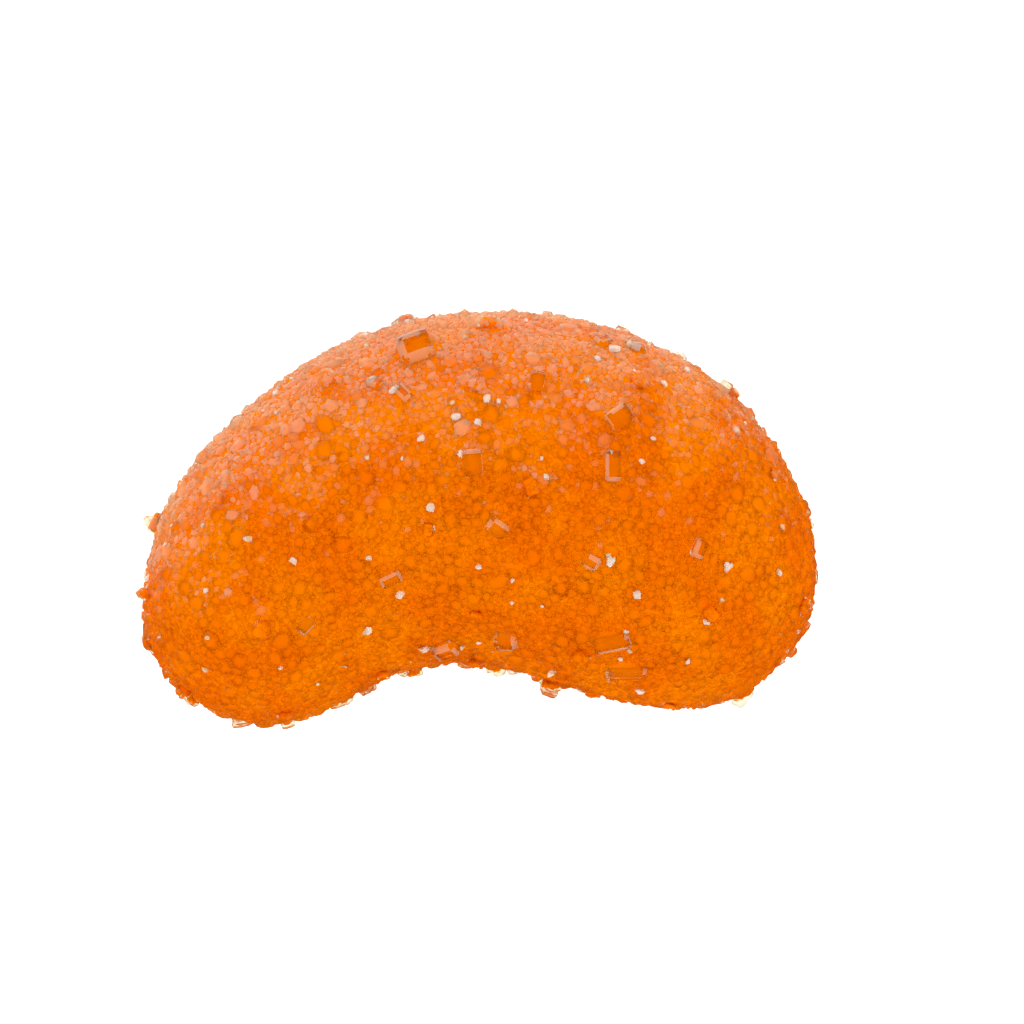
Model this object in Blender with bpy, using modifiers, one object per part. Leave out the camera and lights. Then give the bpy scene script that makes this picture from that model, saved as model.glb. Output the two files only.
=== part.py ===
"""Orange slice gummy: a plump crescent of fruit jelly, sanded all over with coarse sugar, lying on its flat back.

The frame: +Z up, +X along the crescent towards its fuller lobe, +Y towards its outer curve, and the origin
under the middle of the piece, on the surface that it lies on. Metres.

The jelly is a row of overlapping balls along an arc, fused into one skin and cut flat underneath. The coat of
sugar is relief in that skin, with facets of about a grain's size, and the largest crystals are shapes of their
own, joined to it.
"""

import math

import bmesh
import bpy
import numpy as np
from mathutils import Matrix, Vector, noise
from mathutils.bvhtree import BVHTree

MM = 0.001
NAME = "gummy"
SEED = 11

# The crescent in plan: balls whose centres lie on an arc, the spine. It runs from the left lobe to the right one.
ARC_CENTRE = (0.12 * MM, -8.18 * MM)  # puts the middle of the piece at the origin
ARC_RADIUS = 9.08 * MM
ARC_START = math.radians(143.4)
ARC_END = math.radians(44.2)
LEFT_RADIUS = 4.12 * MM
BELLY_RADIUS = 5.92 * MM
RIGHT_RADIUS = 4.58 * MM
BELLY_AT = 0.70  # where along the spine the crescent is widest
BALLS = 48
BALL_SEGMENTS = 64
BALL_RINGS = 40

# The section across the spine: a domed top over a rounded rim, and a flat back.
RIM_LEVEL = 2.9 * MM  # height at which the section is widest
DOME_AT_BELLY = 6.2 * MM  # from the rim level to the top
DOME_AT_LOBES = 5.3 * MM
KEEL = 3.7 * MM  # from the rim level down, before the flat back cuts it off
SHOULDER = 2.3  # exponent of the section's curve: 2 is an ellipse, more is fuller
SWELL = 0.10 * MM  # how far the skin wanders in and out
SWELL_LENGTH = 5.0 * MM
SLAB = 40 * MM  # side of the block that cuts the back flat

# The coat of sugar: facets of a grain's size, shaken along the skin and raised by random heights.
SKIN_CELL = 0.50 * MM
SHAKE = 0.30  # share of a cell
GRAIN_RELIEF = 0.26 * MM  # from the lowest corner to the highest
RELAX_ROUNDS = 3  # of smoothing, before the coat goes on

# The largest crystals on top: x, y from the middle, length and width in mm, and the turn in degrees.
TOP_CRYSTALS = (
    (4.4, 1.7, 1.05, 0.55, 90),
    (-2.1, 5.6, 1.15, 1.05, 20),
    (4.6, 3.3, 0.90, 0.70, 35),
    (4.4, -4.1, 1.30, 0.55, 15),
    (4.9, -5.1, 1.40, 0.40, 9),
    (3.7, -1.4, 0.60, 0.50, -30),
    (7.2, -1.0, 0.65, 0.45, 65),
    (1.9, 4.5, 0.70, 0.55, 75),
    (-0.2, 1.8, 0.95, 0.65, 95),
    (-2.5, 4.1, 0.75, 0.40, -50),
    (-3.4, 4.4, 0.60, 0.45, -30),
    (5.2, 5.6, 0.75, 0.50, -20),
    (4.1, 5.8, 0.60, 0.45, 30),
    (0.6, -0.3, 0.75, 0.55, -35),
    (-2.9, -2.0, 0.75, 0.40, 25),
    (0.9, -4.0, 0.80, 0.65, 5),
    (-1.1, -4.3, 0.90, 0.65, 30),
    (-5.7, -3.5, 0.65, 0.40, 50),
)
CRYSTAL_DEPTHS = (0.60, 0.85)  # share of the width
CRYSTAL_LEVEL = 0.60  # share of the grains' relief, at which a crystal's middle lies
CUT_CORNER = 0.24  # share of the depth

# The other crystals, spread evenly over the skin.
SPREAD_CRYSTALS = 60
SPREAD_LENGTHS = (0.60 * MM, 1.00 * MM)
SPREAD_WIDTHS = (0.55, 0.85)  # share of the length
SPREAD_STEPS = (0.7549, 0.5698)  # along and around, after which a place hardly ever comes near an earlier one
CAP_SHARE = 0.18  # share of the crystals that lie round the end of each lobe
CLEARANCE = 1.1 * MM  # between the middles of two crystals
LOWEST_CRYSTAL = 0.9 * MM  # above the surface that the piece lies on

SUGARED_JELLY = (0.86, 0.18, 0.010, 1.0)
SUGAR_ROUGHNESS = 0.35


def clear_scene():
    for obj in list(bpy.data.objects):
        bpy.data.objects.remove(obj, do_unlink=True)


def new_collection(name):
    collection = bpy.data.collections.new(name)
    bpy.context.scene.collection.children.link(collection)
    return collection


def add_object(name, bm, collection):
    mesh = bpy.data.meshes.new(name)
    bm.to_mesh(mesh)
    bm.free()
    obj = bpy.data.objects.new(name, mesh)
    collection.objects.link(obj)
    return obj


def apply_modifiers(obj):
    """Gives the object the mesh that its modifiers make, and drops them."""
    bpy.context.view_layer.update()
    graph = bpy.context.evaluated_depsgraph_get()
    made = bpy.data.meshes.new_from_object(obj.evaluated_get(graph))
    obj.modifiers.clear()
    obj.data = made


def spine_point(t):
    """The ball's centre at t, which runs from 0 at the left lobe to 1 at the right lobe."""
    angle = ARC_START + (ARC_END - ARC_START) * t
    centre_x, centre_y = ARC_CENTRE
    return Vector((centre_x + ARC_RADIUS * math.cos(angle), centre_y + ARC_RADIUS * math.sin(angle), RIM_LEVEL))


def spine_direction(t):
    angle = ARC_START + (ARC_END - ARC_START) * t
    return Vector((math.sin(angle), -math.cos(angle), 0))


def plumpness(t):
    """1 where the crescent is widest, falling as a parabola to 0 at the end of each lobe."""
    span = BELLY_AT if t < BELLY_AT else 1 - BELLY_AT
    return 1 - ((t - BELLY_AT) / span) ** 2


def fuller(share):
    """Turns a share of an ellipse's half width or height into that of the section's fuller curve."""
    return abs(share) ** (2 / SHOULDER)


def add_ball(t, collection):
    """One ball of the row: round in plan, with a fuller curve in height, and less deep than it is high."""
    lobe_radius = LEFT_RADIUS if t < BELLY_AT else RIGHT_RADIUS
    radius = lobe_radius + (BELLY_RADIUS - lobe_radius) * plumpness(t)
    dome = DOME_AT_LOBES + (DOME_AT_BELLY - DOME_AT_LOBES) * plumpness(t)
    bm = bmesh.new()
    bmesh.ops.create_uvsphere(bm, u_segments=BALL_SEGMENTS, v_segments=BALL_RINGS, radius=1.0)
    for vert in bm.verts:
        outward = Vector((vert.co.x, vert.co.y, 0))
        across = outward.normalized() * fuller(outward.length) * radius
        rise = fuller(vert.co.z) * (dome if vert.co.z > 0 else -KEEL)
        vert.co = across + Vector((0, 0, rise))
    ball = add_object("ball", bm, collection)
    ball.location = spine_point(t)
    return ball


def joined(objects):
    """One bmesh of all these objects' meshes, in world space. The objects are removed."""
    bpy.context.view_layer.update()
    bm = bmesh.new()
    for obj in objects:
        obj.data.transform(obj.matrix_world)
        bm.from_mesh(obj.data)
        bpy.data.objects.remove(obj, do_unlink=True)
    return bm


def make_jelly(collection):
    """The row of balls, fused into one closed skin of even facets."""
    balls = [add_ball(float(t), collection) for t in np.linspace(0, 1, BALLS)]
    jelly = add_object(NAME, joined(balls), collection)
    fuse = jelly.modifiers.new("fuse", "REMESH")
    fuse.mode = "VOXEL"
    fuse.voxel_size = SKIN_CELL
    relax = jelly.modifiers.new("relax", "SMOOTH")
    relax.factor = 0.5
    relax.iterations = RELAX_ROUNDS
    apply_modifiers(jelly)
    return jelly


def swell(place):
    """How far the skin lies out here, as cast sweets are never quite regular."""
    return SWELL * noise.noise(place / SWELL_LENGTH)


def sand_with_sugar(obj, draw):
    """Turns the skin into the coat of sugar: uneven facets of a grain's size, each corner at its own height."""
    bm = bmesh.new()
    bm.from_mesh(obj.data)
    bm.normal_update()
    rises = {}
    for vert in bm.verts:
        shake = Vector(draw.uniform(-1, 1, 3))
        rises[vert] = draw.uniform(0, GRAIN_RELIEF) + swell(vert.co)
        vert.co += (shake - vert.normal * shake.dot(vert.normal)) * SHAKE * SKIN_CELL
    bmesh.ops.triangulate(bm, faces=bm.faces, quad_method="SHORT_EDGE")
    bmesh.ops.beautify_fill(bm, faces=bm.faces, edges=bm.edges)
    moves = {vert: vert.normal * rise for vert, rise in rises.items()}
    for vert, move in moves.items():
        vert.co += move
    bm.to_mesh(obj.data)
    bm.free()


def ray_down(x, y):
    return Vector((x, y, SLAB)), Vector((0, 0, -1))


def ray_from_spine(along, around):
    """A ray out of the spine. Both shares run from 0 to 1: left lobe's end to right lobe's end, and once around."""
    t = min(max((along - CAP_SHARE) / (1 - 2 * CAP_SHARE), 0), 1)
    past_left = max((CAP_SHARE - along) / CAP_SHARE, 0)
    past_right = max((along - 1 + CAP_SHARE) / CAP_SHARE, 0)
    lean = past_right - past_left
    forward = spine_direction(t)
    turn = math.tau * around
    across = forward.cross(Vector((0, 0, 1))) * math.cos(turn) + Vector((0, 0, 1)) * math.sin(turn)
    return spine_point(t), forward * lean + across * math.sqrt(1 - lean * lean)


def spread_rays():
    """Rays for the crystals that are spread over the whole skin, by a sequence that leaves no large gaps."""
    step_along, step_around = SPREAD_STEPS
    for number in range(SPREAD_CRYSTALS):
        yield ray_from_spine(math.modf(number * step_along)[0], math.modf(number * step_around)[0])


def add_crystal(place, normal, size, turn, collection):
    """A large sugar crystal: a block with cut corners, lying on the skin."""
    length, width, depth = size
    bm = bmesh.new()
    bmesh.ops.create_cube(bm, size=1.0)
    bmesh.ops.transform(bm, matrix=Matrix.Diagonal((length, width, depth, 1)), verts=bm.verts)
    bmesh.ops.bevel(bm, geom=bm.verts[:], offset=CUT_CORNER * depth, affect="VERTICES", segments=1)
    crystal = add_object("crystal", bm, collection)
    upright = Vector((0, 0, 1)).rotation_difference(normal)
    crystal.rotation_mode = "QUATERNION"
    crystal.rotation_quaternion = upright @ Matrix.Rotation(turn, 3, "Z").to_quaternion()
    crystal.location = place + normal * CRYSTAL_LEVEL * GRAIN_RELIEF


def add_crystals(jelly, draw, collection):
    """Lays the listed crystals on top, and the spread ones wherever there is room between them."""
    bpy.context.view_layer.update()
    skin = BVHTree.FromObject(jelly, bpy.context.evaluated_depsgraph_get())
    listed = [(ray_down(x * MM, y * MM), length * MM, width * MM, math.radians(turn))
              for x, y, length, width, turn in TOP_CRYSTALS]
    spread = []
    for ray in spread_rays():
        length = draw.uniform(*SPREAD_LENGTHS)
        spread.append((ray, length, length * draw.uniform(*SPREAD_WIDTHS), draw.uniform(0, math.tau)))
    taken = []
    for (start, direction), length, width, turn in listed + spread:
        depth = width * draw.uniform(*CRYSTAL_DEPTHS)
        place, normal = skin.ray_cast(start, direction)[:2]
        crowded = any((place - other).length < CLEARANCE for other in taken)
        if place.z > LOWEST_CRYSTAL and not crowded:
            add_crystal(place, normal, (length, width, depth), turn, collection)
            taken.append(place)


def join_crystals(obj, collection):
    """Joins the large crystals to the skin, then removes them."""
    join = obj.modifiers.new("join", "BOOLEAN")
    join.operation = "UNION"
    join.operand_type = "COLLECTION"
    join.collection = collection
    apply_modifiers(obj)
    for crystal in list(collection.objects):
        bpy.data.objects.remove(crystal, do_unlink=True)
    bpy.data.collections.remove(collection)


def cut_flat_back(obj, collection):
    """Cuts off all that lies below the surface that the piece rests on."""
    bm = bmesh.new()
    bmesh.ops.create_cube(bm, size=SLAB)
    slab = add_object("slab", bm, collection)
    slab.location = (0, 0, -SLAB / 2)
    cut = obj.modifiers.new("cut", "BOOLEAN")
    cut.operation = "DIFFERENCE"
    cut.object = slab
    apply_modifiers(obj)
    bpy.data.objects.remove(slab, do_unlink=True)


def stand_on_origin(obj):
    """Moves the mesh a little, so that the origin is exactly under the middle of its box."""
    corners = [Vector(corner) for corner in obj.bound_box]
    low = Vector(min(corner[axis] for corner in corners) for axis in range(3))
    high = Vector(max(corner[axis] for corner in corners) for axis in range(3))
    middle = (low + high) / 2
    obj.data.transform(Matrix.Translation((-middle.x, -middle.y, -low.z)))


def sugared_jelly():
    material = bpy.data.materials.new("sugared_jelly")
    material.use_nodes = True
    surface = material.node_tree.nodes["Principled BSDF"]
    surface.inputs["Base Color"].default_value = SUGARED_JELLY
    surface.inputs["Roughness"].default_value = SUGAR_ROUGHNESS
    surface.inputs["Metallic"].default_value = 0.0
    return material


def main():
    clear_scene()
    draw = np.random.default_rng(SEED)
    sweet = new_collection("orange_slice_gummy")
    crystals = new_collection("crystals")
    gummy = make_jelly(sweet)
    add_crystals(gummy, draw, crystals)
    sand_with_sugar(gummy, draw)
    join_crystals(gummy, crystals)
    cut_flat_back(gummy, sweet)
    stand_on_origin(gummy)
    gummy.data.materials.clear()
    gummy.data.materials.append(sugared_jelly())


main()
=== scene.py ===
"""Looks for the orange slice gummy: orange jelly packed all over with clear grains of sugar,
lit like a product photograph on white and seen from straight above."""

import math
from collections import namedtuple

import bmesh
import bpy
import numpy as np
from mathutils import Euler, Matrix, Vector, noise
from mathutils.bvhtree import BVHTree


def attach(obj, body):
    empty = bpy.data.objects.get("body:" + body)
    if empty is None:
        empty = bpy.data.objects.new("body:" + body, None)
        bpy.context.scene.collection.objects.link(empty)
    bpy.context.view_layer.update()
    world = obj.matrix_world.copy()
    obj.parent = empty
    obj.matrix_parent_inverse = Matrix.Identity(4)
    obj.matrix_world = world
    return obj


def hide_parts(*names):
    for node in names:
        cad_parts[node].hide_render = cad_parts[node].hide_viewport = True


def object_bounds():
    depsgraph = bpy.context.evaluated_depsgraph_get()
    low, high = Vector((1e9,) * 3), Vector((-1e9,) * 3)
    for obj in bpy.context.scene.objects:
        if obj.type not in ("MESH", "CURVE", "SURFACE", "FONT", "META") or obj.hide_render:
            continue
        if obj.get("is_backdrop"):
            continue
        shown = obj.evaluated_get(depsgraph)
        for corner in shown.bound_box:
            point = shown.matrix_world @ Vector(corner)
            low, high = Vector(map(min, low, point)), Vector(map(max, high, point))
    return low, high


MM = 0.001
NODE = "gummy"
BONE = "root"
SEED = 5

# The jelly: the solid, smoothed until its coat of sugar is gone, and drawn in a little.
JELLY_CELL = 0.20 * MM
JELLY_ROUNDS = 30
JELLY_RELAX = 0.5
JELLY_SINK = 0.10 * MM
BACK_GAP = 0.20 * MM

# The coat. A grain's size is its middle diameter. Spacing is a share of two grains' half sizes.
# Fullness 2 is a ball and more is a block. Cuts are the cube's, or 0 for the plainest grain.
Coat = namedtuple("Coat", "name sizes tries most spacing fullness roughness cuts")
COATS = (
    Coat("sugar_coarse", (0.44 * MM, 0.62 * MM), 4000, 330, 1.10, (2.3, 3.8), 0.25, 2),
    Coat("sugar_medium", (0.30 * MM, 0.42 * MM), 8000, 2000, 0.84, (2.2, 3.8), 0.25, 1),
    Coat("sugar_small", (0.22 * MM, 0.30 * MM), 60000, 9900, 0.78, (2.2, 3.4), 0.30, 0),
    Coat("sugar_fine", (0.15 * MM, 0.21 * MM), 90000, 9900, 0.64, (2.0, 3.0), 0.30, 0),
)
COAT_SHAPES = 24
COAT_TILT = 0.25
COAT_RISE = (-0.40, 0.30)  # in half heights of the grain
ASPECTS = ((1.00, 0.80, 0.60), (1.35, 1.05, 0.90))  # least and most along each side of a grain
LUMP_SCALE = 1.3
NOISE_REACH = 50
PACKING_CELL = 0.90 * MM
CRYSTAL_REACH = 0.50  # kept clear round a large crystal, in its lengths

# The milky grains are painted sheen: most where the skin faces the lit side by more than both edges.
PAINTED_SHEEN_SIDE = (-0.30, 1.0, 0.0)
PAINTED_SHEEN_EDGES = (0.30, 0.62)
PAINTED_SHEEN_SPREAD = 0.18

# The large crystals stand where the solid has them: same lists, same draws.
CRYSTAL_SEED = 11
ARC_CENTRE = (0.12 * MM, -8.18 * MM)
ARC_RADIUS = 9.08 * MM
ARC_START = math.radians(143.4)
ARC_END = math.radians(44.2)
RIM_LEVEL = 2.9 * MM
HIGH_UP = 40 * MM
TOP_CRYSTALS = (  # x, y, length, width in mm, turn in degrees
    (4.4, 1.7, 1.05, 0.55, 90),
    (-2.1, 5.6, 1.15, 1.05, 20),
    (4.6, 3.3, 0.90, 0.70, 35),
    (4.4, -4.1, 1.30, 0.55, 15),
    (4.9, -5.1, 1.40, 0.40, 9),
    (3.7, -1.4, 0.60, 0.50, -30),
    (7.2, -1.0, 0.65, 0.45, 65),
    (1.9, 4.5, 0.70, 0.55, 75),
    (-0.2, 1.8, 0.95, 0.65, 95),
    (-2.5, 4.1, 0.75, 0.40, -50),
    (-3.4, 4.4, 0.60, 0.45, -30),
    (5.2, 5.6, 0.75, 0.50, -20),
    (4.1, 5.8, 0.60, 0.45, 30),
    (0.6, -0.3, 0.75, 0.55, -35),
    (-2.9, -2.0, 0.75, 0.40, 25),
    (0.9, -4.0, 0.80, 0.65, 5),
    (-1.1, -4.3, 0.90, 0.65, 30),
    (-5.7, -3.5, 0.65, 0.40, 50),
)
CRYSTAL_DEPTHS = (0.60, 0.85)
SPREAD_CRYSTALS = 60
SPREAD_LENGTHS = (0.60 * MM, 1.00 * MM)
SPREAD_WIDTHS = (0.55, 0.85)
SPREAD_STEPS = (0.7549, 0.5698)
CAP_SHARE = 0.18
CLEARANCE = 1.1 * MM
LOWEST_CRYSTAL = 0.9 * MM
CRYSTAL_RISE = 0.08 * MM
CRYSTAL_ROUNDING = 0.26
CRYSTAL_STEPS = 3
CRYSTAL_TINT = 0.5
WEAR_AND_SHEEN_SCALE = 3 / MM
WEAR_AND_SHEEN_LEAST = -0.05  # noise above which a rounded edge is made milky, partly as wear and partly as a painted highlight
CHUNK_SHARE = 0.60  # size of the spread ones here, against the solid's

# Painted glints: small bright whitish grains of sugar, some at known places on the top and the rest
# anywhere.
GLINT_GRAINS = (  # x, y, size in mm
    (4.35, 2.15, 0.18),
    (5.35, 1.85, 0.18),
    (5.75, 2.60, 0.19),
    (3.90, 5.25, 0.22),
    (4.50, 5.55, 0.36),
    (5.15, 5.65, 0.36),
    (-0.75, 3.30, 0.27),
    (-0.05, 3.15, 0.27),
    (0.25, 3.90, 0.27),
    (-2.80, 4.20, 0.28),
    (-3.50, 4.50, 0.26),
    (-1.90, 2.60, 0.32),
    (2.20, 1.35, 0.22),
    (-1.60, 0.35, 0.32),
    (6.90, 4.90, 0.24),
    (6.10, 4.40, 0.22),
    (-6.10, -1.40, 0.27),
    (-7.60, -0.70, 0.24),
    (-9.00, -2.40, 0.18),
    (-11.0, -2.00, 0.29),
    (-10.4, -0.90, 0.18),
    (-2.60, -2.50, 0.29),
    (-3.70, -3.70, 0.30),
    (2.40, -5.10, 0.30),
    (0.45, -4.40, 0.18),
    (-1.80, -4.30, 0.36),
    (6.90, -4.70, 0.22),
    (5.35, -5.70, 0.27),
    (5.20, -2.50, 0.27),
    (7.50, -3.40, 0.21),
    (10.0, -0.30, 0.21),
    (9.90, -1.80, 0.24),
    (8.20, -1.60, 0.30),
    (4.30, -1.40, 0.29),
    (8.50, 2.90, 0.24),
)
MORE_GLINT_GRAINS = 90
MORE_GLINT_SIZES = (0.12 * MM, 0.20 * MM)
GLINT_TILT = 0.45
GLINT_RISE = (0.2, 0.8)
GLINT_FULLNESS = (2.0, 3.6)
GLINT_ROUGHNESS = 0.50
GLINT_CUTS = 1

# Materials.
JELLY_ROUGHNESS = 0.5
JELLY_COLOURS = ((0.88, 0.158, 0.0), (0.92, 0.202, 0.0))
CLOUD_SCALE = 0.5 / MM
CLOUD_ENDS = (0.40, 0.60)
# Index is the index of refraction, and sheen the tint of the gloss. A grain is between deep and pale.
Sugar = namedtuple("Sugar", "name roughness index clearness sheen deep pale")
WARM = (1.00, 0.70, 0.15)
WHITE = (1.00, 1.00, 1.00)
COAT_SUGAR = Sugar("sugar", 0.29, 1.13, 1.0, WARM, (1.00, 0.93, 0.60), (1.00, 0.98, 0.75))
# Painted sheen: whiter, less clear copies of the coat sugar for the grains that face the light.
SOME_PAINTED_SHEEN_SUGAR = Sugar("milky_sugar_some_painted_sheen", 0.29, 1.14, 0.960, WARM, (1.00, 0.97, 0.68), (1.00, 1.00, 0.80))
MOST_PAINTED_SHEEN_SUGAR = Sugar("milky_sugar_most_painted_sheen", 0.29, 1.15, 0.885, WHITE, (1.00, 0.97, 0.72), (1.00, 1.00, 0.84))
CLEAR_SUGAR = Sugar("clear_sugar", 0.05, 1.30, 1.0, WHITE, (1.00, 0.97, 0.88), (1.00, 0.99, 0.95))
# Milky sugar for the crystals' rounded edges: partly wear, partly painted highlight on the edges.
WORN_SHEEN_SUGAR = Sugar("worn_sugar_painted_edge_sheen", 0.30, 1.35, 0.86, WHITE, (1.00, 0.93, 0.62), (1.00, 0.98, 0.76))
# Painted glints: cream-white, mostly diffuse sugar for the glint grains.
GLINT_SUGAR = Sugar("sugar_painted_glints", 0.30, 1.15, 0.45, WHITE, (1.00, 0.84, 0.66), (1.00, 0.96, 0.88))

# Stage. The light is strongest from behind the sweet's left shoulder.
FLOOR_RADIUS = 0.6
FLOOR_CORNERS = 96
FLOOR_ROUGHNESS = 0.9
FLOOR_COLOUR = (0.8, 0.8, 0.8, 1.0)
FLOOR_GLOW = 0.9
# A sky goes from dim to bright between two cosines of the angle to the side that it is bright towards,
# and is multiplied by zenith overhead.
Sky = namedtuple("Sky", "towards start end dim bright zenith")
LIGHT_SKY = Sky((-0.45, 1.0, 0.30), -0.60, 0.95, 1.24, 1.32, 1.0)
MIRRORED_SKY = Sky((-0.45, 1.0, -0.30), 0.30, 1.00, 0.03, 2.00, 0.02)
SEEN_SKY = Sky((-0.45, 1.0, 0.0), 0.20, 1.00, 0.80, 1.60, 0.50)
ZENITH_EDGE = (0.00, 0.55)
GROUND_EDGE = (-0.30, 0.00)
SCATTERED_EDGE = (0.4, 0.6)
CAMERA_PLACE = (1.09 * MM, 0.20 * MM, 0.303)
CAMERA_SENSOR = 36
VIEW_DISTANCE = 0.30
VIEW_WIDTH = 0.03436
CAMERA_LENS = CAMERA_SENSOR * VIEW_DISTANCE / VIEW_WIDTH
CAMERA_CLIP = (0.01, 10)

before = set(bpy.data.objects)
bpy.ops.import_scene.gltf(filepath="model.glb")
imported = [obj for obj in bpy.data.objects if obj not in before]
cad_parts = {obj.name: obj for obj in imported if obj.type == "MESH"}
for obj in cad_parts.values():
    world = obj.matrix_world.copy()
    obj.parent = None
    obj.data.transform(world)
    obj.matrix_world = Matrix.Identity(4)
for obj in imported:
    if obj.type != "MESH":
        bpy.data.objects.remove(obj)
cad_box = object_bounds()
scene = bpy.context.scene


def evaluated_mesh(obj):
    bpy.context.view_layer.update()
    graph = bpy.context.evaluated_depsgraph_get()
    return bpy.data.meshes.new_from_object(obj.evaluated_get(graph))


def new_object(name, mesh):
    obj = bpy.data.objects.new(name, mesh)
    scene.collection.objects.link(obj)
    return obj


# ------------------------------------------------------------------ jelly


def make_jelly():
    jelly = new_object("jelly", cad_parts[NODE].data.copy())
    fuse = jelly.modifiers.new("fuse", "REMESH")
    fuse.mode = "VOXEL"
    fuse.voxel_size = JELLY_CELL
    relax = jelly.modifiers.new("relax", "SMOOTH")
    relax.factor = JELLY_RELAX
    relax.iterations = JELLY_ROUNDS
    mesh = evaluated_mesh(jelly)
    mesh.materials.clear()
    jelly.modifiers.clear()
    jelly.data = mesh
    draw_in(mesh)
    mesh.shade_smooth()
    return jelly


def draw_in(mesh):
    bm = bmesh.new()
    bm.from_mesh(mesh)
    bm.normal_update()
    for vert in bm.verts:
        vert.co -= vert.normal * JELLY_SINK
        vert.co.z = max(vert.co.z, BACK_GAP)
    bm.to_mesh(mesh)
    bm.free()


def skin_of(obj):
    bpy.context.view_layer.update()
    return BVHTree.FromObject(obj, bpy.context.evaluated_depsgraph_get())


# ------------------------------------------------------------------ shapes of grains


def grain_arrays(bm):
    bmesh.ops.triangulate(bm, faces=bm.faces)
    bm.verts.index_update()
    points = np.array([vert.co[:] for vert in bm.verts])
    faces = np.array([[vert.index for vert in face.verts] for face in bm.faces])
    bm.free()
    return points, faces


def nugget(rng, fullness, roughness, cuts):
    """A worn grain of sugar about two units across."""
    bm = bmesh.new()
    if cuts:
        bmesh.ops.create_cube(bm, size=1.0)
        bmesh.ops.subdivide_edges(bm, edges=bm.edges, cuts=cuts, use_grid_fill=True)
    else:
        bmesh.ops.create_icosphere(bm, subdivisions=1, radius=1.0)
    shift = Vector(rng.uniform(-NOISE_REACH, NOISE_REACH, 3))
    for vert in bm.verts:
        direction = vert.co.normalized()
        reach = sum(abs(c) ** fullness for c in direction) ** (-1 / fullness)
        lump = noise.noise(direction * LUMP_SCALE + shift)
        vert.co = direction * reach * (1 + roughness * lump)
    return grain_arrays(bm)


# ------------------------------------------------------------------ placing grains


class Packing:
    """The places already taken, in a grid of cells, each with the radius it keeps clear."""

    def __init__(self):
        self.cells = {}

    def cell(self, place):
        return tuple(math.floor(c / PACKING_CELL) for c in place)

    def near(self, place):
        x, y, z = self.cell(place)
        for i in (x - 1, x, x + 1):
            for j in (y - 1, y, y + 1):
                for k in (z - 1, z, z + 1):
                    yield from self.cells.get((i, j, k), ())

    def free(self, place, radius, spacing):
        x, y, z = place
        for (other_x, other_y, other_z), other_radius in self.near(place):
            gap = (radius + other_radius) * spacing
            if (x - other_x) ** 2 + (y - other_y) ** 2 + (z - other_z) ** 2 < gap * gap:
                return False
        return True

    def take(self, place, radius):
        self.cells.setdefault(self.cell(place), []).append((tuple(place), radius))


def triangles_of(obj):
    """The corners of an object's triangles, as one array."""
    mesh = obj.data
    mesh.calc_loop_triangles()
    verts = np.empty(len(mesh.vertices) * 3)
    mesh.vertices.foreach_get("co", verts)
    tris = np.empty(len(mesh.loop_triangles) * 3, dtype=np.int32)
    mesh.loop_triangles.foreach_get("vertices", tris)
    return verts.reshape(-1, 3)[tris.reshape(-1, 3)]


def surface_samples(triangles, count, rng):
    """Random places on triangles, evenly spread over their area, with the normals there."""
    a, b, c = (triangles[:, corner] for corner in range(3))
    cross = np.cross(b - a, c - a)
    area = np.linalg.norm(cross, axis=1)
    pick = rng.choice(len(area), size=count, p=area / area.sum())
    u = np.sqrt(rng.random(count))[:, None]
    v = rng.random(count)[:, None]
    places = a[pick] * (1 - u) + b[pick] * u * (1 - v) + c[pick] * u * v
    return places, cross[pick] / area[pick][:, None]


def packed(bed, coat, packing, rng):
    """Places, normals and sizes of one class of grains, each clear of what is there already."""
    places, normals = surface_samples(bed, coat.tries, rng)
    sizes = rng.uniform(*coat.sizes, coat.tries)
    kept = []
    for number, (place, size) in enumerate(zip(places.tolist(), sizes.tolist())):
        if len(kept) < coat.most and packing.free(place, size / 2, coat.spacing):
            packing.take(place, size / 2)
            kept.append(number)
    return places[kept], normals[kept], sizes[kept]


def painted_sheen_levels(places, skin, rng):
    """How milky each grain is: 0, 1 or 2, more where the skin faces the lit side, as painted sheen."""
    normals = np.array([skin.find_nearest(place)[1] for place in places])
    facing = normals @ np.array(Vector(PAINTED_SHEEN_SIDE).normalized())
    return np.digitize(facing + rng.normal(0, PAINTED_SHEEN_SPREAD, len(normals)), PAINTED_SHEEN_EDGES)


def chosen(placed, mask):
    return [part[mask] for part in placed]


def grain_turns(normals, tilt, rng):
    """Rotation matrices that turn +Z to the normals, after a random turn and a random tilt."""
    turns = np.empty((len(normals), 3, 3))
    for number, normal in enumerate(normals):
        upright = Vector((0, 0, 1)).rotation_difference(Vector(normal)).to_matrix()
        lean = Euler((rng.normal(0, tilt), rng.normal(0, tilt), rng.uniform(0, math.tau)))
        turns[number] = np.array(upright @ lean.to_matrix())
    return turns


def join_grains(name, placed, shapes, tilt, rise, rng):
    """One mesh with a grain at each place. The attribute 'grain' holds a random number for each."""
    places, normals, sizes = placed
    count = len(places)
    turns = grain_turns(normals, tilt, rng)
    half = sizes[:, None] * rng.uniform(*ASPECTS, (count, 3)) / 2
    middles = places + normals * (half[:, 2] * rng.uniform(*rise, count))[:, None]
    tints = rng.random(count)
    points, faces, colours = [], [], []
    start = 0
    for number, shape in enumerate(rng.integers(0, len(shapes), count)):
        shape_points, shape_faces = shapes[shape]
        points.append((shape_points * half[number]) @ turns[number].T + middles[number])
        faces.append(shape_faces + start)
        colours.append(np.full(len(shape_points), tints[number]))
        start += len(shape_points)
    points = np.concatenate(points)
    points[:, 2] = np.maximum(points[:, 2], 0)
    obj = new_object(name, mesh_from(name, points, np.concatenate(faces)))
    colour_points(obj.data, np.concatenate(colours))
    return obj


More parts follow.
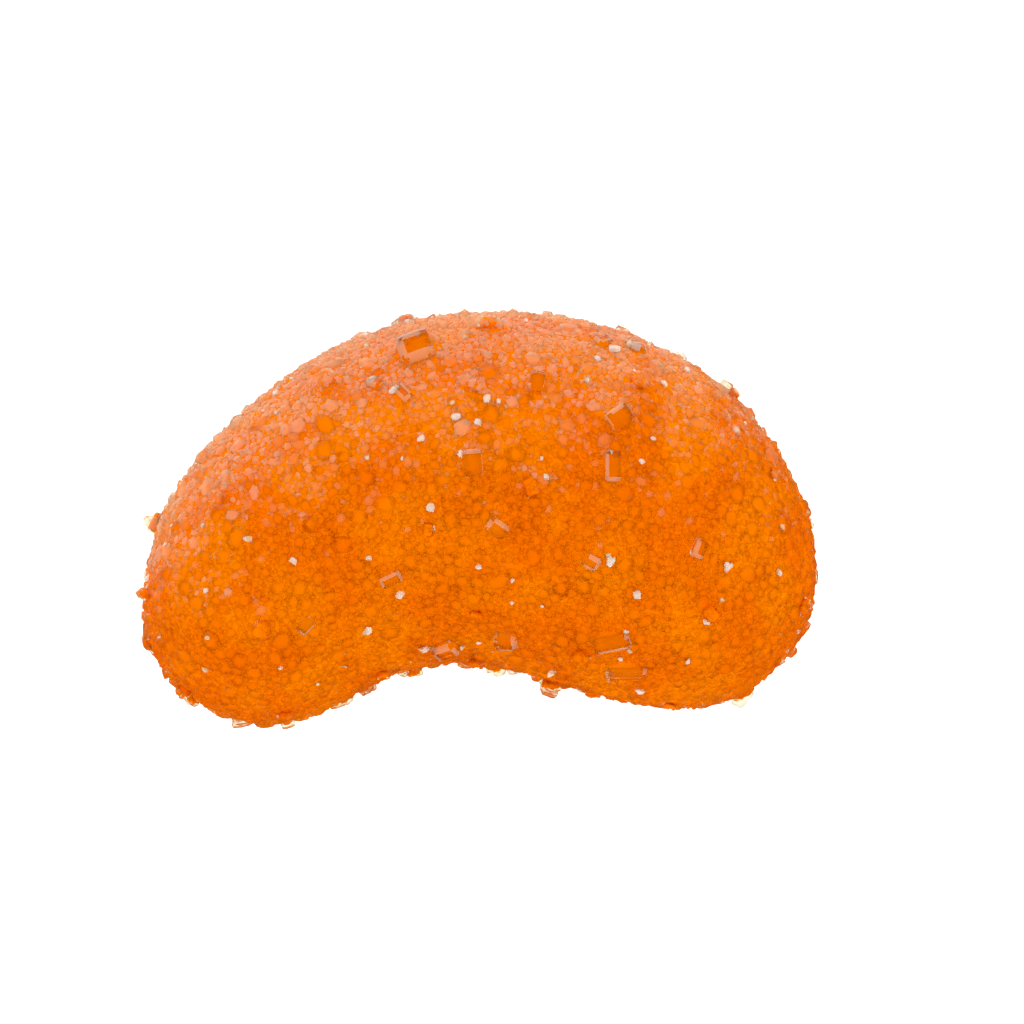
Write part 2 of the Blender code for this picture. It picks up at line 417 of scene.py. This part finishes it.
def mesh_from(name, points, faces):
    mesh = bpy.data.meshes.new(name)
    mesh.vertices.add(len(points))
    mesh.vertices.foreach_set("co", points.astype(np.float32).ravel())
    mesh.loops.add(faces.size)
    mesh.loops.foreach_set("vertex_index", faces.astype(np.int32).ravel())
    mesh.polygons.add(len(faces))
    mesh.polygons.foreach_set("loop_start", np.arange(0, faces.size, 3, dtype=np.int32))
    mesh.update(calc_edges=True)
    mesh.validate()
    mesh.shade_flat()
    return mesh


def colour_points(mesh, tints):
    colours = np.stack([tints, tints, tints, np.ones(len(tints))], 1)
    attribute = mesh.color_attributes.new("grain", "FLOAT_COLOR", "POINT")
    attribute.data.foreach_set("color", colours.astype(np.float32).ravel())


# ------------------------------------------------------------------ large crystals


def spine_point(t):
    angle = ARC_START + (ARC_END - ARC_START) * t
    x, y = ARC_CENTRE
    return Vector((x + ARC_RADIUS * math.cos(angle), y + ARC_RADIUS * math.sin(angle), RIM_LEVEL))


def spine_direction(t):
    angle = ARC_START + (ARC_END - ARC_START) * t
    return Vector((math.sin(angle), -math.cos(angle), 0))


def ray_down(x, y):
    return Vector((x, y, HIGH_UP)), Vector((0, 0, -1))


def ray_from_spine(along, around):
    t = min(max((along - CAP_SHARE) / (1 - 2 * CAP_SHARE), 0), 1)
    past_left = max((CAP_SHARE - along) / CAP_SHARE, 0)
    past_right = max((along - 1 + CAP_SHARE) / CAP_SHARE, 0)
    lean = past_right - past_left
    forward = spine_direction(t)
    turn = math.tau * around
    across = forward.cross(Vector((0, 0, 1))) * math.cos(turn) + Vector((0, 0, 1)) * math.sin(turn)
    return spine_point(t), forward * lean + across * math.sqrt(1 - lean * lean)


def wanted_crystals(draw):
    """Ray, length, width and turn of each large crystal: the listed ones, then the spread ones."""
    for x, y, length, width, turn in TOP_CRYSTALS:
        yield ray_down(x * MM, y * MM), length * MM, width * MM, math.radians(turn)
    for number in range(SPREAD_CRYSTALS):
        ray = ray_from_spine(*(math.modf(number * step)[0] for step in SPREAD_STEPS))
        length = draw.uniform(*SPREAD_LENGTHS)
        yield ray, length, length * draw.uniform(*SPREAD_WIDTHS), draw.uniform(0, math.tau)


def crystal_plan(skin):
    """Place, normal, size and turn of each large crystal that has room, and how many are listed."""
    draw = np.random.default_rng(CRYSTAL_SEED)
    plan = []
    listed = 0
    for number, ((start, direction), length, width, turn) in enumerate(list(wanted_crystals(draw))):
        depth = width * draw.uniform(*CRYSTAL_DEPTHS)
        place, normal = skin.ray_cast(start, direction)[:2]
        crowded = any((place - other[0]).length < CLEARANCE for other in plan)
        if place.z > LOWEST_CRYSTAL and not crowded:
            plan.append((place, normal, (length, width, depth), turn))
            listed += number < len(TOP_CRYSTALS)
    return plan, listed


def make_crystals(name, plan):
    bm = bmesh.new()
    for number, (place, normal, size, turn) in enumerate(plan):
        corners = bmesh.ops.create_cube(bm, size=1.0)["verts"]
        bmesh.ops.transform(bm, matrix=Matrix.Diagonal((*size, 1)), verts=corners)
        edges = list({edge for vert in corners for edge in vert.link_edges})
        reach = CRYSTAL_ROUNDING * size[1]
        rounded = bmesh.ops.bevel(
            bm, geom=edges, offset=reach, affect="EDGES", segments=CRYSTAL_STEPS, profile=0.5
        )
        verts = list({vert for face in rounded["faces"] for vert in face.verts})
        for face in rounded["faces"]:
            # Rounded edges where the noise is high are made milky: partly wear, partly painted
            # highlight.
            wear_and_sheen = noise.noise(face.calc_center_median() * WEAR_AND_SHEEN_SCALE + Vector((number, 0, 0)))
            face.material_index = int(wear_and_sheen > WEAR_AND_SHEEN_LEAST)
        upright = Vector((0, 0, 1)).rotation_difference(normal).to_matrix().to_4x4()
        where = Matrix.Translation(place + normal * CRYSTAL_RISE)
        bmesh.ops.transform(bm, matrix=where @ upright @ Matrix.Rotation(turn, 4, "Z"), verts=verts)
    mesh = bpy.data.meshes.new(name)
    bm.to_mesh(mesh)
    bm.free()
    mesh.shade_flat()
    colour_points(mesh, np.full(len(mesh.vertices), CRYSTAL_TINT))
    return new_object(name, mesh)


def glint_places(skin, bed, rng):
    """Places, normals and sizes of the small bright grains that are painted glints."""
    hits = [(skin.ray_cast(*ray_down(x * MM, y * MM)), size * MM) for x, y, size in GLINT_GRAINS]
    places, normals = surface_samples(bed, MORE_GLINT_GRAINS, rng)
    places = np.concatenate([[hit[0] for hit, size in hits], places])
    normals = np.concatenate([[hit[1] for hit, size in hits], normals])
    sizes = rng.uniform(*MORE_GLINT_SIZES, MORE_GLINT_GRAINS)
    return places, normals, np.concatenate([[size for hit, size in hits], sizes])


# ------------------------------------------------------------------ materials


def principled(name, roughness):
    material = bpy.data.materials.new(name)
    material.use_nodes = True
    surface = material.node_tree.nodes["Principled BSDF"]
    surface.inputs["Roughness"].default_value = roughness
    return material, surface


def put(material, *pieces):
    for piece in pieces:
        piece.data.materials.append(material)


def add_node(tree, kind, operation=None):
    node = tree.nodes.new("ShaderNode" + kind)
    if operation:
        node.operation = operation
    return node


def jelly_material():
    """Orange jelly, a little uneven in colour."""
    material, surface = principled("jelly", JELLY_ROUGHNESS)
    tree = material.node_tree
    place = add_node(tree, "TexCoord")
    cloud = add_node(tree, "TexNoise")
    cloud.inputs["Scale"].default_value = CLOUD_SCALE
    tree.links.new(place.outputs["Object"], cloud.inputs["Vector"])
    tint = add_node(tree, "ValToRGB")
    for element, position, colour in zip(tint.color_ramp.elements, CLOUD_ENDS, JELLY_COLOURS):
        element.position = position
        element.color = (*colour, 1)
    tree.links.new(cloud.outputs["Fac"], tint.inputs["Fac"])
    tree.links.new(tint.outputs["Color"], surface.inputs["Base Color"])
    surface.inputs["Specular IOR Level"].default_value = 0.0
    return material


def sugar_material(sugar):
    """Sugar whose tint runs from deep to pale by each grain's own random number."""
    material, surface = principled(sugar.name, sugar.roughness)
    tree = material.node_tree
    grain = add_node(tree, "Attribute")
    grain.attribute_name = "grain"
    tint = add_node(tree, "ValToRGB")
    tint.color_ramp.elements[0].color = (*sugar.deep, 1)
    tint.color_ramp.elements[1].color = (*sugar.pale, 1)
    tree.links.new(grain.outputs["Fac"], tint.inputs["Fac"])
    tree.links.new(tint.outputs["Color"], surface.inputs["Base Color"])
    surface.inputs["Transmission Weight"].default_value = sugar.clearness
    surface.inputs["IOR"].default_value = sugar.index
    surface.inputs["Specular Tint"].default_value = (*sugar.sheen, 1)
    return material


# ------------------------------------------------------------------ stage


def make_floor():
    bm = bmesh.new()
    bmesh.ops.create_circle(bm, cap_ends=True, segments=FLOOR_CORNERS, radius=FLOOR_RADIUS)
    mesh = bpy.data.meshes.new("floor")
    bm.to_mesh(mesh)
    bm.free()
    floor = new_object("floor", mesh)
    material, surface = principled("floor", FLOOR_ROUGHNESS)
    surface.inputs["Base Color"].default_value = FLOOR_COLOUR
    surface.inputs["Emission Color"].default_value = (1, 1, 1, 1)
    surface.inputs["Emission Strength"].default_value = FLOOR_GLOW
    put(material, floor)
    floor.visible_glossy = False
    floor.visible_transmission = False
    floor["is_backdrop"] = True


def ramp(tree, value, ends, levels):
    """A smooth step of a value, from the first level to the second."""
    step = add_node(tree, "MapRange")
    step.interpolation_type = "SMOOTHSTEP"
    step.inputs["From Min"].default_value, step.inputs["From Max"].default_value = ends
    step.inputs["To Min"].default_value, step.inputs["To Max"].default_value = levels
    tree.links.new(value, step.inputs["Value"])
    return step.outputs["Result"]


def times(tree, one, other):
    product = add_node(tree, "Math", "MULTIPLY")
    tree.links.new(one, product.inputs[0])
    tree.links.new(other, product.inputs[1])
    return product.outputs["Value"]


def either(tree, choice, off, on):
    mix = add_node(tree, "Mix")
    mix.data_type = "FLOAT"
    tree.links.new(choice, mix.inputs["Factor"])
    tree.links.new(off, mix.inputs["A"])
    if isinstance(on, float):
        mix.inputs["B"].default_value = on
    else:
        tree.links.new(on, mix.inputs["B"])
    return mix.outputs["Result"]


def sky_level(tree, place, sky):
    towards = add_node(tree, "VectorMath", "DOT_PRODUCT")
    tree.links.new(place.outputs["Generated"], towards.inputs[0])
    towards.inputs[1].default_value = Vector(sky.towards).normalized()
    level = ramp(tree, towards.outputs["Value"], (sky.start, sky.end), (sky.dim, sky.bright))
    height = add_node(tree, "SeparateXYZ")
    tree.links.new(place.outputs["Generated"], height.inputs["Vector"])
    return times(tree, level, ramp(tree, height.outputs["Z"], ZENITH_EDGE, (1.0, sky.zenith)))


def over_white_ground(tree, place, level):
    """A level of the sky with plain white below the horizon."""
    height = add_node(tree, "SeparateXYZ")
    tree.links.new(place.outputs["Generated"], height.inputs["Vector"])
    return either(tree, ramp(tree, height.outputs["Z"], GROUND_EDGE, (1.0, 0.0)), level, 1.0)


def make_sky():
    """A light tent. The jelly is lit by all of it, and clear sugar shows mostly its bright side."""
    scene.world = bpy.data.worlds.new("world")
    scene.world.use_nodes = True
    scene.world.cycles.sampling_method = "NONE"
    tree = scene.world.node_tree
    place = add_node(tree, "TexCoord")
    rays = add_node(tree, "LightPath")
    seen = over_white_ground(tree, place, sky_level(tree, place, SEEN_SKY))
    mirrored = sky_level(tree, place, MIRRORED_SKY)
    direct = either(tree, rays.outputs["Is Transmission Ray"], mirrored, seen)
    scattered = ramp(tree, rays.outputs["Diffuse Depth"], SCATTERED_EDGE, (0.0, 1.0))
    level = either(tree, scattered, direct, sky_level(tree, place, LIGHT_SKY))
    background = tree.nodes["Background"]
    background.inputs["Color"].default_value = (1, 1, 1, 1)
    strength = either(tree, rays.outputs["Is Camera Ray"], level, 1.0)
    tree.links.new(strength, background.inputs["Strength"])


def make_camera():
    camera = bpy.data.cameras.new("camera")
    camera.sensor_width = CAMERA_SENSOR
    camera.lens = CAMERA_LENS
    camera.clip_start, camera.clip_end = CAMERA_CLIP
    scene.camera = new_object("camera", camera)
    scene.camera.location = CAMERA_PLACE


# ------------------------------------------------------------------ the whole scene


def shrunk(plan):
    return [(place, normal, Vector(size) * CHUNK_SHARE, turn) for place, normal, size, turn in plan]


def random_shapes(fullness, roughness, cuts, rng):
    return [nugget(rng, rng.uniform(*fullness), roughness, cuts) for _ in range(COAT_SHAPES)]


def make_coat(bed, skin, packing, rng):
    """The clear classes of grains, then the two milky pieces of painted sheen on the lit side, which
    hold grains of every size.
    """
    clear, milky = [], []
    for coat in COATS:
        shapes = random_shapes(coat.fullness, coat.roughness, coat.cuts, rng)
        placed = packed(bed, coat, packing, rng)
        # Grains that face the light are made milky: painted sheen.
        levels = painted_sheen_levels(placed[0], skin, rng)
        grains = chosen(placed, levels == 0)
        clear.append(join_grains(coat.name, grains, shapes, COAT_TILT, COAT_RISE, rng))
        milky.append([chosen(placed, levels == level) for level in (1, 2)])
    some, most = ([np.concatenate(parts) for parts in zip(*level)] for level in zip(*milky))
    some_sheen_grains = join_grains("sugar_some_painted_sheen", some, shapes, COAT_TILT, COAT_RISE, rng)
    most_sheen_grains = join_grains("sugar_most_painted_sheen", most, shapes, COAT_TILT, COAT_RISE, rng)
    return clear, some_sheen_grains, most_sheen_grains


# Painted glints: whitish grains where the light would glint.
def make_glints(bed, skin, rng):
    shapes = random_shapes(GLINT_FULLNESS, GLINT_ROUGHNESS, GLINT_CUTS, rng)
    placed = glint_places(skin, bed, rng)
    return join_grains("sugar_glint_grains", placed, shapes, GLINT_TILT, GLINT_RISE, rng)


def make_sweet():
    rng = np.random.default_rng(SEED)
    jelly = make_jelly()
    skin = skin_of(jelly)
    plan, listed = crystal_plan(skin)
    crystals = make_crystals("sugar_crystals", plan[:listed])
    chunks = make_crystals("sugar_chunks", shrunk(plan[listed:]))
    bed = np.concatenate([triangles_of(jelly), triangles_of(chunks)])
    packing = Packing()
    for place, normal, size, turn in plan[:listed]:
        packing.take(place, CRYSTAL_REACH * size[0])
    clear, some_sheen_grains, most_sheen_grains = make_coat(bed, skin, packing, rng)
    bright = make_glints(bed, skin, rng)
    put(jelly_material(), jelly, chunks)
    put(sugar_material(COAT_SUGAR), *clear)
    # Painted sheen: milky sugar on the grains that face the light.
    put(sugar_material(SOME_PAINTED_SHEEN_SUGAR), some_sheen_grains)
    put(sugar_material(MOST_PAINTED_SHEEN_SUGAR), most_sheen_grains)
    # Painted glints: cream-white sugar on the glint grains.
    put(sugar_material(GLINT_SUGAR), bright)
    put(sugar_material(CLEAR_SUGAR), crystals)
    # Milky crystal edges: partly wear, partly painted highlight.
    put(sugar_material(WORN_SHEEN_SUGAR), crystals)
    for piece in (jelly, crystals, chunks, bright, some_sheen_grains, most_sheen_grains, *clear):
        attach(piece, BONE)
        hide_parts(NODE)


def save_size():
    boxes = {"cad": cad_box, "visual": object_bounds()}
    {name: [list(corner) for corner in box] for name, box in boxes.items()}


make_sweet()
make_floor()
make_sky()
make_camera()
scene.view_settings.view_transform = "Standard"
save_size()
